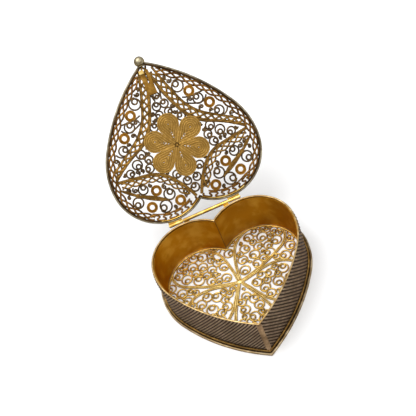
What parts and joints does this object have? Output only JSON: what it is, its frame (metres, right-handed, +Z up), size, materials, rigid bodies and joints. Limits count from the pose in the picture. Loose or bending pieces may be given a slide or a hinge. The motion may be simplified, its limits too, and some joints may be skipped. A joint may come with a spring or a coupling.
{
  "type": "filigree trinket box",
  "caption": "Heart-shaped openwork metal trinket box with a hinged filigree lid that opens past upright, a thumb knob at the tip and a small spring catch.",
  "frame": {"origin": "on the ground plane, at the centre of the solder boss where the floor's petals cross", "axes": "+Z up, the tip of the heart and the front of the box towards -Y, the hinge towards +Y, +X to the right seen from the front"},
  "size_m": [0.061, 0.1018, 0.0655],
  "materials": {
    "gilt_filigree": "satin",
    "gilt_floor": "satin",
    "gilt_petal": "matte",
    "gilt_bright": "polished",
    "gilt_wall": "satin",
    "silver_edge": "worn satin"
  },
  "bodies": {
    "box": {"base_band": "silver_edge", "floor_boss": "gilt_floor", "floor_lower_ribs": "gilt_floor", "floor_scrolls_lower": "gilt_floor", "floor_scrolls_upper": "gilt_floor", "floor_side_ribs": "gilt_floor", "floor_upper_petals": "gilt_floor", "foot_wire": "silver_edge", "hinge_box_knuckle": "gilt_bright", "hinge_pin": "gilt_bright", "wall_left": "gilt_wall", "wall_right": "gilt_wall", "wall_top_wire": "silver_edge"},
    "lid": {"catch_plate": "gilt_bright", "hinge_lid_knuckle_left": "gilt_bright", "hinge_lid_knuckle_right": "gilt_bright", "lid_band": "silver_edge", "lid_flower_boss": "gilt_petal", "lid_flower_petals": "gilt_petal", "lid_lattice_inner": "gilt_filigree", "lid_lattice_outer": "gilt_filigree", "lid_lower_band_left": "gilt_filigree", "lid_lower_band_right": "gilt_filigree", "lid_rosettes": "gilt_filigree", "lid_scrolls_field": "gilt_filigree", "lid_scrolls_lower": "gilt_filigree", "lid_scrolls_upper": "gilt_filigree", "lid_spines": "gilt_filigree", "lid_upper_band_left": "gilt_filigree", "lid_upper_band_right": "gilt_filigree", "thumb_knob": "silver_edge"},
    "catch": {"catch_hook": "gilt_bright"}
  },
  "joints": [
    {"name": "lid_hinge", "type": "hinge", "parent": "box", "child": "lid", "pos_m": [0, 0.02344, 0.0188], "axis": [1, 0, 0], "range_deg": [0, 132]},
    {"name": "catch_flex", "type": "hinge", "parent": "lid", "child": "catch", "pos_m": [-0.0027, 0.06197, 0.06129], "axis": [-1, 0, 0], "range_deg": [0, 8], "stiffness_Nm_per_rad": 0.3}
  ]
}
